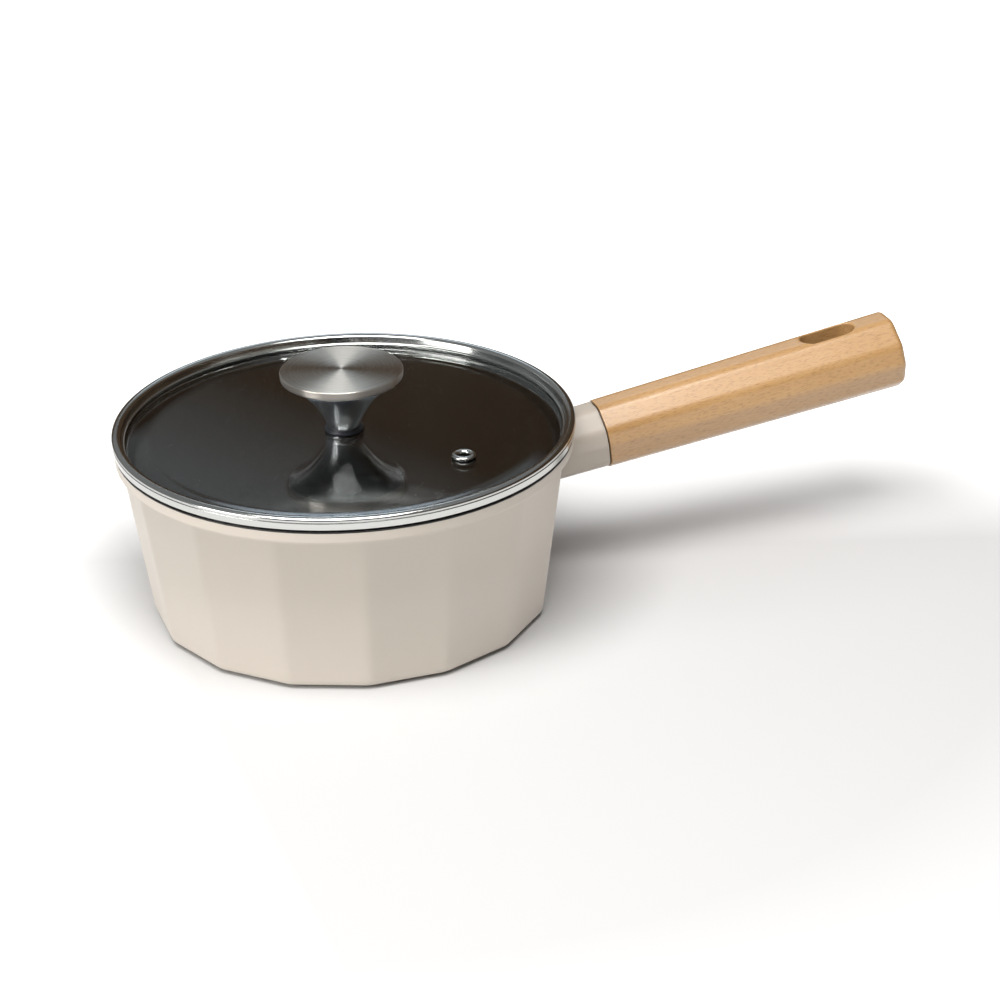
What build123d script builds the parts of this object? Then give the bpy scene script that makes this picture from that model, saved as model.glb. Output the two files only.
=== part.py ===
from build123d import *
import os
from math import atan, cos, degrees, radians, sin

os.makedirs("parts", exist_ok=True)

# Saucepan with a glass lid, in millimetres.
# The origin is on the pan's axis, on the surface that the pan stands on, and the handle points along +X.

# pan
bore_radius = 90.0            # round inside of the pan, at the lid's seat
rim_height = 77.9             # top of the rim above the table
facet_count = 16
wall_slope = 0.137            # horizontal millimetres lost for each millimetre down
wall_thickness = 3.2          # at the middle of a facet
floor_thickness = 4.0
facet_edge_radius = 11.0
bottom_edge_radius = 4.0
inside_corner_radius = 14.0
lip_height = 5.1
lip_overhang = 3.9            # past the middle of a facet
lip_undercut = 1.0            # the lip's root below its edge
lip_edge = 0.5
seat_depth = 2.5              # the lid's seat below the top of the rim
seat_width = 5.0

# induction plate pressed into the pan's bottom
plate_radius = 64.0
plate_thickness = 1.6
plate_proud = 1.0             # below the pan's bottom
plate_clearance = 0.1
plate_groove_radii = (20.0, 34.0, 48.0)
plate_groove_width = 2.0
plate_groove_depth = 0.5

# handle
handle_tilt = 8.5             # degrees above horizontal
collar_reach = 19.3           # from the facet's upper edge to the crest of the grip's root
handle_drop = 4.6             # crest of the grip's root below the rim
grip_length = 140.0
root_half_widths = (5.2, 13.2, 14.0, 12.0, 6.0)    # grip's outline at the collar, from crest to belly
root_drops = (0.0, 8.0, 15.0, 24.5, 28.8)
end_half_widths = (6.0, 15.2, 17.0, 13.4, 6.5)     # grip's outline at its free end
end_drops = (0.0, 9.2, 18.5, 27.5, 32.8)
grip_edge_radius = 6.5
grip_end_radius = 2.5
slot_from_root = 110.5        # middle of the hanging slot along the grip
slot_length = 25.2
slot_width = 10.8
slot_edge_radius = 0.8
gasket_thickness = 0.5
gasket_inset = 1.4
collar_inset = 0.45
tang_width = 9.0
tang_height = 15.0
tang_length = 42.0            # reach into the grip
tang_drop = 14.4              # centre of the tang below the crest
tang_clearance = 0.2
screw_stations = (14.0, 31.0)
screw_shank_radius = 2.0
screw_head_radius = 3.9
screw_head_height = 2.4
screw_bite = 11.5             # into the tang
screw_head_sink = 3.0         # the head's seat above the belly
screw_clearance = 0.3
thread_clearance = 0.05
recess_width = 1.1
recess_depth = 1.2

# lid
glass_thickness = 4.0
glass_edge_radius = 1.2
glass_clearance = 0.2
lid_play = 0.8                # between the lid's web and the rim
ring_sheet = 0.6
ring_overhang = 0.8           # past the pan's lip
ring_rise = 4.3               # crest above the glass
ring_toe = 1.6                # width of the foot that rests on the glass
ring_flange = 2.6             # width of the flange under the glass
skirt_gap = 1.1               # above the pan's rim

# knob
knob_radius = 25.9
knob_height = 26.1            # from its gasket to the rim of its top face
knob_disc_thickness = 3.7
knob_crown = 0.4
knob_rim_bevel = 0.6
stem_foot_radius = 6.9
stem_foot_height = 0.5
stem_top_radius = 24.6
stem_top_edge = 0.3
stem_rise_pull = (1.6, 9.0)   # the bell's side leaves the foot this way, out and up
stem_flare_pull = (6.2, 2.4)  # and reaches the top edge from this far in and below
spigot_radius = 6.0
spigot_height = 1.5
spigot_clearance = 0.05
knob_gasket_radius = 8.3
top_gasket_thickness = 0.8
bottom_gasket_thickness = 1.0
steel_washer_radius = 7.2
steel_washer_thickness = 1.0
knob_screw_radius = 2.5
knob_screw_head_radius = 4.6
knob_screw_head_height = 2.9
knob_screw_reach = 13.0       # into the stem
knob_hole_radius = 4.0
bolt_clearance = 0.15

# steam vent
vent_distance = 60.1          # from the lid's axis
vent_angle = -51.0            # degrees from the handle
vent_flange_radius = 5.1
vent_bore_radius = 2.5
vent_rise = 1.8               # above the glass
vent_tube_wall = 0.6
vent_tube_clearance = 0.4
vent_gasket_thickness = 0.4
vent_washer_thickness = 0.6
vent_roll_radius = 4.3
vent_roll_height = 0.7

# worked out from the sizes above
pan_bottom = plate_proud
seat_height = rim_height - seat_depth
lip_bottom = rim_height - lip_height
facet_top_apothem = bore_radius - wall_slope * (seat_height - lip_bottom) + wall_thickness
facet_bottom_apothem = facet_top_apothem - wall_slope * (lip_bottom - pan_bottom)
lip_radius = facet_top_apothem + lip_overhang
land_radius = bore_radius + seat_width
floor_height = pan_bottom + floor_thickness
floor_radius = bore_radius - wall_slope * (seat_height - floor_height)

tilt = radians(handle_tilt)
along = Vector(cos(tilt), 0, sin(tilt))
upward = Vector(-sin(tilt), 0, cos(tilt))
root_crest = Vector(facet_top_apothem + collar_reach, 0, rim_height - handle_drop)
tang_belly = tang_drop + tang_height / 2
tang_root = -collar_reach - 10.0           # buried in the pan's wall

glass_bottom = seat_height + ring_sheet
glass_top = glass_bottom + glass_thickness
web_radius = land_radius - lid_play
glass_radius = web_radius - ring_sheet - glass_clearance
ring_radius = lip_radius + ring_overhang
ring_crest = glass_top + ring_rise
skirt_bottom = rim_height + skirt_gap

stem_foot = glass_top + top_gasket_thickness
knob_top = stem_foot + knob_height
knob_underside = knob_top - knob_disc_thickness
washer_top = glass_bottom - bottom_gasket_thickness
screw_seat = washer_top - steel_washer_thickness
bolt_hole_radius = knob_screw_radius + bolt_clearance

vent_tube_radius = vent_bore_radius + vent_tube_wall
vent_hole_radius = vent_tube_radius + vent_tube_clearance
vent_flange_bottom = glass_top + vent_gasket_thickness
vent_washer_bottom = glass_bottom - vent_washer_thickness
vent_middle = Vector(vent_distance, 0, 0).rotate(Axis.Z, vent_angle)


def handle_plane(station, drop=0.0):
    """Plane across the handle: x to the side, y up, z out along the grip."""
    origin = root_crest + along * station - upward * drop
    return Plane(origin=origin, x_dir=(0, 1, 0), z_dir=along)


def level_plane(station, drop):
    """Plane along the handle that faces up, below the crest by a drop."""
    origin = root_crest + along * station - upward * drop
    return Plane(origin=origin, x_dir=along, z_dir=upward)


def belly_drop(station):
    """How far the grip's belly lies below its crest."""
    return root_drops[-1] + (end_drops[-1] - root_drops[-1]) * station / grip_length


def grip_outline(station, inset=0.0):
    """The grip's ten-sided outline with soft corners, at a distance from the collar."""
    share = station / grip_length
    side = []
    for root_half, end_half, root_drop, end_drop in zip(
        root_half_widths, end_half_widths, root_drops, end_drops
    ):
        half = root_half + (end_half - root_half) * share
        drop = root_drop + (end_drop - root_drop) * share
        side.append((half, -drop))
    other_side = [(-half, height) for half, height in reversed(side)]
    with BuildSketch(handle_plane(station)) as outline:
        with BuildLine():
            Polyline(*side, *other_side, close=True)
        make_face()
        fillet(outline.vertices(), radius=grip_edge_radius)
        if inset:
            offset(amount=-inset, mode=Mode.REPLACE)
    return outline.sketch


def tang_section(station, clearance=0.0):
    """The tang's rectangle across the handle, or the hole that clears it."""
    with BuildSketch(handle_plane(station, tang_drop)) as section:
        Rectangle(tang_width + 2 * clearance, tang_height + 2 * clearance)
    return section.sketch


# pan body: faceted outside and round inside, cast in one piece with its rim and the tang in the handle
with BuildPart() as pan_body:
    with BuildSketch(Plane.XY.offset(pan_bottom)):
        RegularPolygon(facet_bottom_apothem, facet_count, major_radius=False, rotation=180 / facet_count)
    extrude(amount=lip_bottom - pan_bottom, taper=-degrees(atan(wall_slope)))
    facet_edges = pan_body.edges().filter_by(lambda edge: abs(edge.tangent_at(0.5).Z) > 0.5)
    fillet(facet_edges, radius=facet_edge_radius)
    fillet(pan_body.faces().sort_by(Axis.Z)[0].edges(), radius=bottom_edge_radius)
    extrude(tang_section(tang_root), amount=tang_length - tang_root, dir=along)
    with BuildSketch(Plane.XZ):
        with BuildLine():
            Polyline(
                (bore_radius - wall_thickness, lip_bottom - lip_undercut),
                (facet_top_apothem + lip_overhang / 2, lip_bottom - lip_undercut),
                (lip_radius - lip_edge, lip_bottom),
                (lip_radius, rim_height - lip_edge),
                (lip_radius - lip_edge, rim_height),
                (land_radius + lip_edge, rim_height),
                (land_radius, rim_height - lip_edge),
                (land_radius, seat_height),
                (bore_radius - wall_thickness, seat_height),
                close=True,
            )
        make_face()
    revolve(axis=Axis.Z)
    with BuildSketch(Plane.XZ) as inside:
        with BuildLine():
            Polyline(
                (0, floor_height),
                (floor_radius, floor_height),
                (bore_radius, seat_height),
                (bore_radius, rim_height),
                (0, rim_height),
                close=True,
            )
        make_face()
        corner = inside.vertices().sort_by_distance((floor_radius, 0, floor_height))[0]
        fillet(corner, radius=inside_corner_radius)
    revolve(axis=Axis.Z, mode=Mode.SUBTRACT)
    with BuildSketch(Plane.XY.offset(pan_bottom)):
        Circle(plate_radius)
    extrude(amount=plate_thickness - plate_proud, mode=Mode.SUBTRACT)
    for station in screw_stations:
        with BuildSketch(level_plane(station, tang_belly)):
            Circle(screw_shank_radius + thread_clearance)
        extrude(amount=screw_bite + screw_clearance, mode=Mode.SUBTRACT)
pan_body.part.label = "pan_body"
export_step(pan_body.part, "parts/pan_body.step")

# induction plate: steel disc pressed into the bottom, with round grooves that the pan stands on
with BuildPart() as induction_plate:
    with BuildSketch():
        Circle(plate_radius - plate_clearance)
    extrude(amount=plate_thickness)
    with BuildSketch():
        for groove_radius in plate_groove_radii:
            Circle(groove_radius + plate_groove_width / 2)
            Circle(groove_radius - plate_groove_width / 2, mode=Mode.SUBTRACT)
    extrude(amount=plate_groove_depth, mode=Mode.SUBTRACT)
    chamfer(induction_plate.edges().group_by(Axis.Z)[0].sort_by(SortBy.LENGTH)[-1], length=plate_proud / 2)
induction_plate.part.label = "induction_plate"
export_step(induction_plate.part, "parts/induction_plate.step")

# collar: painted sleeve round the tang, seated on the flat of one facet
with BuildPart() as handle_collar:
    loft(sections=[grip_outline(tang_root, collar_inset), grip_outline(-gasket_thickness, collar_inset)])
    facet_plane = Plane(origin=(facet_top_apothem, 0, lip_bottom), z_dir=(1, 0, -wall_slope))
    split(bisect_by=facet_plane, keep=Keep.TOP)
    extrude(tang_section(tang_root, tang_clearance), amount=-tang_root, dir=along, mode=Mode.SUBTRACT)
handle_collar.part.label = "handle_collar"
export_step(handle_collar.part, "parts/handle_collar.step")

# collar gasket: thin heat barrier between collar and wood, set back from both outlines
with BuildPart() as collar_gasket:
    extrude(grip_outline(-gasket_thickness, gasket_inset), amount=gasket_thickness, dir=along)
    extrude(
        tang_section(-gasket_thickness, tang_clearance), amount=gasket_thickness, dir=along,
        mode=Mode.SUBTRACT,
    )
collar_gasket.part.label = "collar_gasket"
export_step(collar_gasket.part, "parts/collar_gasket.step")

# grip: beech handle that grows towards its end, with a hanging slot and a mortise for the tang
with BuildPart() as handle_grip:
    loft(sections=[grip_outline(0.0), grip_outline(grip_length)])
    end_face = handle_grip.faces().sort_by(Axis.X)[-1]
    fillet(end_face.edges(), radius=grip_end_radius)
    with BuildSketch(level_plane(slot_from_root, 0.0)):
        SlotOverall(slot_length, slot_width)
    extrude(amount=end_drops[-1] + grip_end_radius, both=True, mode=Mode.SUBTRACT)
    slot_walls = handle_grip.faces().filter_by(
        lambda face: abs(face.normal_at().dot(upward)) < 0.01
        and (face.center() - handle_plane(slot_from_root, tang_drop).origin).length < slot_length / 1.5
    )
    slot_rims = slot_walls.edges().filter_by(lambda edge: abs(edge.tangent_at(0.5).dot(upward)) < 0.7)
    fillet(slot_rims, radius=slot_edge_radius)
    extrude(
        tang_section(0.0, tang_clearance), amount=tang_length + tang_clearance, dir=along,
        mode=Mode.SUBTRACT,
    )
    for station in screw_stations:
        head_seat = belly_drop(station) - screw_head_sink
        with BuildSketch(level_plane(station, head_seat)):
            Circle(screw_shank_radius + screw_clearance)
        extrude(amount=head_seat - tang_drop, mode=Mode.SUBTRACT)
        with BuildSketch(level_plane(station, head_seat)):
            Circle(screw_head_radius + screw_clearance)
        extrude(amount=-2 * screw_head_sink, mode=Mode.SUBTRACT)
handle_grip.part.label = "handle_grip"
export_step(handle_grip.part, "parts/handle_grip.step")

# two screws from below, through the wood into the tang
for number, station in enumerate(screw_stations, start=1):
    head_seat = belly_drop(station) - screw_head_sink
    with BuildPart() as grip_screw:
        with BuildSketch(level_plane(station, head_seat)):
            Circle(screw_head_radius)
        extrude(amount=-screw_head_height)
        head_face = grip_screw.faces().sort_by(Axis.Z)[0]
        fillet(head_face.edges(), radius=screw_head_height / 3)
        with BuildSketch(level_plane(station, head_seat)):
            Circle(screw_shank_radius)
        extrude(amount=head_seat - tang_belly + screw_bite)
        with BuildSketch(level_plane(station, head_seat + screw_head_height)):
            Rectangle(screw_head_radius, recess_width)
            Rectangle(recess_width, screw_head_radius)
        extrude(amount=recess_depth, mode=Mode.SUBTRACT)
    grip_screw.part.label = f"grip_screw_{number}"
    export_step(grip_screw.part, f"parts/grip_screw_{number}.step")

# glass: flat disc with a pencilled edge, a hole for the knob's screw and one for the vent
with BuildPart() as lid_glass:
    with BuildSketch(Plane.XY.offset(glass_bottom)):
        Circle(glass_radius)
        Circle(knob_hole_radius, mode=Mode.SUBTRACT)
        with Locations(vent_middle):
            Circle(vent_hole_radius, mode=Mode.SUBTRACT)
    extrude(amount=glass_thickness)
    rim_edges = lid_glass.edges().filter_by(lambda edge: edge.length > glass_radius)
    fillet(rim_edges, radius=glass_edge_radius)
lid_glass.part.label = "lid_glass"
export_step(lid_glass.part, "parts/lid_glass.step")

# ring: steel sheet rolled over the glass edge, with a hollow bead, a hanging skirt and a web inside the rim
with BuildPart() as lid_ring:
    bead_height = ring_crest - glass_top
    bead_foot = web_radius - ring_sheet
    crease_height = ring_crest - bead_height / 2
    with BuildSketch(Plane.XZ):
        with BuildLine():
            toe = (glass_radius - ring_toe, glass_top)
            bead_start = (bead_foot, ring_crest - ring_sheet * 1.5)
            bead_end = (ring_radius, crease_height + ring_sheet)
            Polyline(
                toe,
                (glass_radius - ring_toe, glass_top + ring_sheet),
                (bead_foot - ring_sheet, glass_top + ring_sheet),
                bead_start,
            )
            ThreePointArc(bead_start, ((bead_foot + ring_radius) / 2, ring_crest), bead_end)
            bead_inside_end = (ring_radius - ring_sheet, crease_height + ring_sheet / 2)
            bead_inside_start = (web_radius, ring_crest - ring_sheet * 2)
            Polyline(
                bead_end,
                (ring_radius - ring_sheet / 2, crease_height),
                (ring_radius - ring_sheet / 6, crease_height - ring_sheet / 2),
                (ring_radius - ring_sheet / 2, skirt_bottom),
                (ring_radius - ring_sheet * 1.5, skirt_bottom),
                (ring_radius - ring_sheet * 1.2, crease_height - ring_sheet / 2),
                (ring_radius - ring_sheet * 1.5, crease_height),
                bead_inside_end,
            )
            ThreePointArc(
                bead_inside_end,
                ((bead_foot + ring_radius) / 2 + ring_sheet / 6, ring_crest - ring_sheet),
                bead_inside_start,
            )
            Polyline(
                bead_inside_start,
                (web_radius, seat_height),
                (bead_foot - ring_flange, seat_height),
                (bead_foot - ring_flange, glass_bottom),
                (bead_foot, glass_bottom),
                (bead_foot, glass_top),
                toe,
            )
        make_face()
    revolve(axis=Axis.Z)
lid_ring.part.label = "lid_ring"
export_step(lid_ring.part, "parts/lid_ring.step")

# steam vent: eyelet rolled over through the glass, on a soft gasket above and a steel washer below
with BuildPart() as vent_eyelet:
    with BuildSketch(Plane.XZ):
        with BuildLine():
            crown_height = glass_top + vent_rise
            throat_height = vent_washer_bottom - vent_roll_height
            crown_radius = (vent_bore_radius + vent_flange_radius) / 2
            flange_edge = (vent_flange_radius, vent_flange_bottom + vent_tube_wall / 2)
            crown = (crown_radius, crown_height)
            throat_top = (vent_bore_radius, crown_height - vent_tube_wall)
            roll_edge = (vent_roll_radius, vent_washer_bottom)
            roll_bottom = (vent_tube_radius, throat_height)
            Polyline((vent_tube_radius, vent_flange_bottom), (vent_flange_radius, vent_flange_bottom), flange_edge)
            TangentArc(flange_edge, crown, tangent=(0, 1))
            Spline(crown, throat_top, tangents=[(-1, 0), (0, -1)])
            Polyline(throat_top, (vent_bore_radius, throat_height + vent_tube_wall))
            Line((vent_bore_radius, throat_height + vent_tube_wall), roll_bottom)
            RadiusArc(roll_bottom, roll_edge, -vent_roll_radius)
            Polyline(roll_edge, (vent_tube_radius, vent_washer_bottom), (vent_tube_radius, vent_flange_bottom))
        make_face()
    revolve(axis=Axis.Z)
    vent_eyelet.part.position = vent_middle
vent_eyelet.part.label = "vent_eyelet"
export_step(vent_eyelet.part, "parts/vent_eyelet.step")

with BuildPart() as vent_gasket:
    with BuildSketch(Plane.XY.offset(glass_top)):
        with Locations(vent_middle):
            Circle(vent_flange_radius - vent_tube_wall)
            Circle(vent_hole_radius, mode=Mode.SUBTRACT)
    extrude(amount=vent_gasket_thickness)
vent_gasket.part.label = "vent_gasket"
export_step(vent_gasket.part, "parts/vent_gasket.step")

with BuildPart() as vent_washer:
    with BuildSketch(Plane.XY.offset(vent_washer_bottom)):
        with Locations(vent_middle):
            Circle(vent_flange_radius)
            Circle(vent_tube_radius + thread_clearance, mode=Mode.SUBTRACT)
    extrude(amount=vent_washer_thickness)
vent_washer.part.label = "vent_washer"
export_step(vent_washer.part, "parts/vent_washer.step")

# knob: a spun disc with a spigot, on a stem that flares like a bell
with BuildPart() as knob_disc:
    with BuildSketch(Plane.XZ):
        with BuildLine():
            TangentArc((0, knob_top + knob_crown), (knob_radius - knob_rim_bevel, knob_top), tangent=(1, 0))
            Polyline(
                (0, knob_top + knob_crown),
                (0, knob_underside - spigot_height),
                (spigot_radius, knob_underside - spigot_height),
                (spigot_radius, knob_underside),
                (knob_radius - knob_rim_bevel, knob_underside),
                (knob_radius, knob_underside + knob_rim_bevel),
                (knob_radius, knob_top - knob_rim_bevel),
                (knob_radius - knob_rim_bevel, knob_top),
            )
        make_face()
    revolve(axis=Axis.Z)
knob_disc.part.label = "knob_disc"
export_step(knob_disc.part, "parts/knob_disc.step")

with BuildPart() as knob_stem:
    with BuildSketch(Plane.XZ):
        with BuildLine():
            side_bottom = (stem_foot_radius, stem_foot + stem_foot_height)
            side_top = (stem_top_radius, knob_underside - stem_top_edge)
            rise = (side_bottom[0] + stem_rise_pull[0], side_bottom[1] + stem_rise_pull[1])
            flare = (side_top[0] - stem_flare_pull[0], side_top[1] - stem_flare_pull[1])
            Polyline(
                side_top,
                (stem_top_radius, knob_underside),
                (0, knob_underside),
                (0, stem_foot),
                (stem_foot_radius, stem_foot),
                side_bottom,
            )
            Bezier(side_bottom, rise, flare, side_top)
        make_face()
    revolve(axis=Axis.Z)
    with BuildSketch(Plane.XY.offset(knob_underside)):
        Circle(spigot_radius + spigot_clearance)
    extrude(amount=-spigot_height - spigot_clearance, mode=Mode.SUBTRACT)
    with BuildSketch(Plane.XY.offset(stem_foot)):
        Circle(bolt_hole_radius)
    extrude(amount=knob_screw_reach + bolt_clearance, mode=Mode.SUBTRACT)
knob_stem.part.label = "knob_stem"
export_step(knob_stem.part, "parts/knob_stem.step")

with BuildPart() as knob_top_gasket:
    with BuildSketch(Plane.XY.offset(glass_top)):
        Circle(knob_gasket_radius)
        Circle(bolt_hole_radius, mode=Mode.SUBTRACT)
    extrude(amount=top_gasket_thickness)
    upper_edge = knob_top_gasket.edges().group_by(Axis.Z)[-1].sort_by(SortBy.LENGTH)[-1]
    fillet(upper_edge, radius=top_gasket_thickness / 2)
knob_top_gasket.part.label = "knob_top_gasket"
export_step(knob_top_gasket.part, "parts/knob_top_gasket.step")

# lower gasket: its hub fills the glass's hole round the screw
with BuildPart() as knob_bottom_gasket:
    with BuildSketch(Plane.XY.offset(washer_top)):
        Circle(knob_gasket_radius)
    extrude(amount=bottom_gasket_thickness)
    with BuildSketch(Plane.XY.offset(glass_bottom)):
        Circle(knob_hole_radius - bolt_clearance)
    extrude(amount=glass_thickness - bolt_clearance)
    with BuildSketch(Plane.XY.offset(washer_top)):
        Circle(bolt_hole_radius)
    extrude(amount=bottom_gasket_thickness + glass_thickness, mode=Mode.SUBTRACT)
knob_bottom_gasket.part.label = "knob_bottom_gasket"
export_step(knob_bottom_gasket.part, "parts/knob_bottom_gasket.step")

with BuildPart() as knob_washer:
    with BuildSketch(Plane.XY.offset(screw_seat)):
        Circle(steel_washer_radius)
        Circle(bolt_hole_radius, mode=Mode.SUBTRACT)
    extrude(amount=steel_washer_thickness)
knob_washer.part.label = "knob_washer"
export_step(knob_washer.part, "parts/knob_washer.step")

with BuildPart() as knob_screw:
    with BuildSketch(Plane.XY.offset(screw_seat)):
        Circle(knob_screw_head_radius)
    extrude(amount=-knob_screw_head_height)
    fillet(knob_screw.faces().sort_by(Axis.Z)[0].edges(), radius=knob_screw_head_height / 3)
    with BuildSketch(Plane.XY.offset(screw_seat)):
        Circle(knob_screw_radius)
    extrude(amount=stem_foot - screw_seat + knob_screw_reach)
    with BuildSketch(Plane.XY.offset(screw_seat - knob_screw_head_height)):
        Rectangle(knob_screw_head_radius, recess_width)
        Rectangle(recess_width, knob_screw_head_radius)
    extrude(amount=recess_depth, mode=Mode.SUBTRACT)
knob_screw.part.label = "knob_screw"
export_step(knob_screw.part, "parts/knob_screw.step")
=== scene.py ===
import math

import bmesh
import bpy
import numpy as np
from mathutils import Matrix, Vector


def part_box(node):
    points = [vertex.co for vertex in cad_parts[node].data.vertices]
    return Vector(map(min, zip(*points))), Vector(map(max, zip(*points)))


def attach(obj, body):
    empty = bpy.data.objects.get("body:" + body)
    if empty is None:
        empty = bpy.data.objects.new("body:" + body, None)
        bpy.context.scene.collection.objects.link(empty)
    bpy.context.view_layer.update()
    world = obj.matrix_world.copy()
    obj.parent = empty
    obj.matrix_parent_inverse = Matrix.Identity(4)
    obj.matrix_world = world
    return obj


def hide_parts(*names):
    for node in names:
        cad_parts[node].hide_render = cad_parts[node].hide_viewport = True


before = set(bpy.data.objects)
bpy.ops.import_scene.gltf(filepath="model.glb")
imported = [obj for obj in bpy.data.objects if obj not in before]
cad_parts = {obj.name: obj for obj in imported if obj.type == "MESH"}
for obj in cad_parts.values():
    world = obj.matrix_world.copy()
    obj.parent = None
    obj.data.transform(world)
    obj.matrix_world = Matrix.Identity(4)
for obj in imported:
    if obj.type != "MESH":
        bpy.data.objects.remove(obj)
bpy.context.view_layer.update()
mm = 0.001


def roundPath(corners, steps=7):
    # A path through (x, y, radius) corners: each corner is swapped for a circular arc that touches both
    # runs, with one extra point a little way along each run so that flat runs shade flat.
    tiny, reachOfRun, guardOfReach, guardOfRun = 1e-9, 0.48, 0.3, 0.02
    corners = np.array(corners, float)
    spot, radius = corners[:, :2], corners[:, 2]
    before, after = np.roll(spot, 1, 0), np.roll(spot, -1, 0)
    inLength = np.maximum(np.linalg.norm(spot - before, axis=1), tiny)
    outLength = np.maximum(np.linalg.norm(after - spot, axis=1), tiny)
    inWay = (spot - before) / inLength[:, None]
    outWay = (after - spot) / outLength[:, None]
    cross = inWay[:, 0] * outWay[:, 1] - inWay[:, 1] * outWay[:, 0]
    turn = np.arctan2(cross, (inWay * outWay).sum(1))
    halfTan = np.tan(np.abs(turn) / 2)
    shorter = np.minimum(inLength, outLength)
    reach = np.minimum(radius * halfTan, shorter * reachOfRun)
    bend = reach / np.maximum(halfTan, tiny)
    side = np.stack([inWay[:, 1], -inWay[:, 0]], 1) * np.sign(turn)[:, None]
    centre = spot - inWay * reach[:, None] - side * bend[:, None]
    angle = np.linspace(0, 1, steps)[None, :, None] * np.abs(turn)[:, None, None]
    facing = side[:, None] * np.cos(angle) + inWay[:, None] * np.sin(angle)
    arc = centre[:, None] + bend[:, None, None] * facing
    guard = np.minimum(reach * guardOfReach, shorter * guardOfRun)[:, None, None]
    entry = arc[:, :1] - inWay[:, None] * guard
    leave = arc[:, -1:] + outWay[:, None] * guard
    path = np.concatenate([entry, arc, leave], 1)
    return np.concatenate([spot[:1], path[1:-1].reshape(-1, 2), spot[-1:]])


def arcPath(centre, width, height, start, stop, steps):
    # Part of an ellipse round a centre, between two angles in degrees from the +x side.
    angle = np.radians(np.linspace(start, stop, steps))
    return np.stack([centre[0] + width * np.cos(angle), centre[1] + height * np.sin(angle)], 1)


def bezierPath(start, pull, push, stop, steps):
    # The cubic curve from start to stop that leaves towards pull and arrives from push.
    share = np.linspace(0, 1, steps)[:, None]
    rest = 1 - share
    return (rest ** 3 * start + 3 * rest ** 2 * share * pull
            + 3 * rest * share ** 2 * push + share ** 3 * stop)


def revolve(profile, columns=256, centre=(0.0, 0.0)):
    # Each (radius, height) point of the profile is carried round a circle about the centre.
    turn = np.linspace(0, 2 * math.pi, columns, endpoint=False)
    radius, height = profile[:, 0][:, None], profile[:, 1][:, None]
    x = centre[0] + radius * np.cos(turn)
    y = centre[1] + radius * np.sin(turn)
    return np.stack([x, y, np.broadcast_to(height, x.shape)], -1)


def gridFaces(rows, columns, wrap):
    # One quad between each pair of neighbouring rows and columns.
    row = np.arange(rows - 1)[:, None] * columns
    column = np.arange(columns if wrap else columns - 1)[None, :]
    following = (column + 1) % columns
    corners = [row + column, row + following, row + columns + following, row + columns + column]
    return np.stack(corners, -1).reshape(-1, 4)


def makePiece(name, patches, finishes, body, replaced=()):
    # Grids of points in millimetres become one mesh in metres: points closer than the merge distance
    # become one, so neighbouring patches share edges, and faces are turned outward.
    mergeDistance, sliver = 2e-7, 1e-8
    points, faces, finishOf, start = [], [], [], 0
    for grid, wrap, finish in patches:
        quads = gridFaces(grid.shape[0], grid.shape[1], wrap) + start
        points.append(grid.reshape(-1, 3) * mm)
        faces.append(quads)
        finishOf.append(np.full(len(quads), finish))
        start += grid.shape[0] * grid.shape[1]
    mesh = bpy.data.meshes.new(name)
    mesh.from_pydata(np.concatenate(points).tolist(), [], np.concatenate(faces).tolist())
    mesh.polygons.foreach_set("material_index", np.concatenate(finishOf))
    work = bmesh.new()
    work.from_mesh(mesh)
    bmesh.ops.remove_doubles(work, verts=work.verts, dist=mergeDistance)
    bmesh.ops.dissolve_degenerate(work, edges=work.edges, dist=sliver)
    # a profile that runs along its own axis leaves a bare edge there, which belongs to no face
    bareEdges = [edge for edge in work.edges if not edge.link_faces]
    bmesh.ops.delete(work, geom=bareEdges, context="EDGES")
    bmesh.ops.recalc_face_normals(work, faces=work.faces)
    if work.calc_volume(signed=True) < 0:
        bmesh.ops.reverse_faces(work, faces=work.faces)
    work.to_mesh(mesh)
    openEdges = sum(1 for edge in work.edges if not edge.is_manifold)
    work.free()
    mesh.polygons.foreach_set("use_smooth", np.ones(len(mesh.polygons), bool))
    piece = bpy.data.objects.new(name, mesh)
    bpy.context.scene.collection.objects.link(piece)
    for material in finishes:
        mesh.materials.append(material)
    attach(piece, body)
    if replaced:
        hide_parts(*replaced)
    print("made", name, len(mesh.polygons), "faces,", openEdges, "open edges")


def newMaterial(name):
    material = bpy.data.materials.new(name)
    material.use_nodes = True
    tree = material.node_tree
    tree.nodes.clear()
    output = tree.nodes.new("ShaderNodeOutputMaterial")
    shader = tree.nodes.new("ShaderNodeBsdfPrincipled")
    tree.links.new(shader.outputs["BSDF"], output.inputs["Surface"])
    return material, tree, shader


def feed(tree, socket, value):
    # A socket takes either a link from another node or a fixed value.
    if isinstance(value, bpy.types.NodeSocket):
        tree.links.new(value, socket)
    else:
        socket.default_value = value


def addNode(tree, kind, settings=None, **values):
    node = tree.nodes.new(kind)
    for key, value in (settings or {}).items():
        setattr(node, key, value)
    for key, value in values.items():
        feed(tree, node.inputs[key.replace("_", " ")], value)
    return node


def objectPlace(tree, scale=(1, 1, 1), turn=(0, 0, 0)):
    coordinates = tree.nodes.new("ShaderNodeTexCoord")
    mapping = addNode(tree, "ShaderNodeMapping", Scale=scale, Rotation=turn)
    tree.links.new(coordinates.outputs["Object"], mapping.inputs["Vector"])
    return mapping.outputs["Vector"]


def newGroup(name, inputs, outputs):
    group = bpy.data.node_groups.new(name, "ShaderNodeTree")
    for label, kind, value in inputs:
        socket = group.interface.new_socket(name=label, in_out="INPUT", socket_type=kind)
        if value is not None:
            socket.default_value = value
    for label, kind in outputs:
        group.interface.new_socket(name=label, in_out="OUTPUT", socket_type=kind)
    return group, group.nodes.new("NodeGroupInput"), group.nodes.new("NodeGroupOutput")


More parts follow.
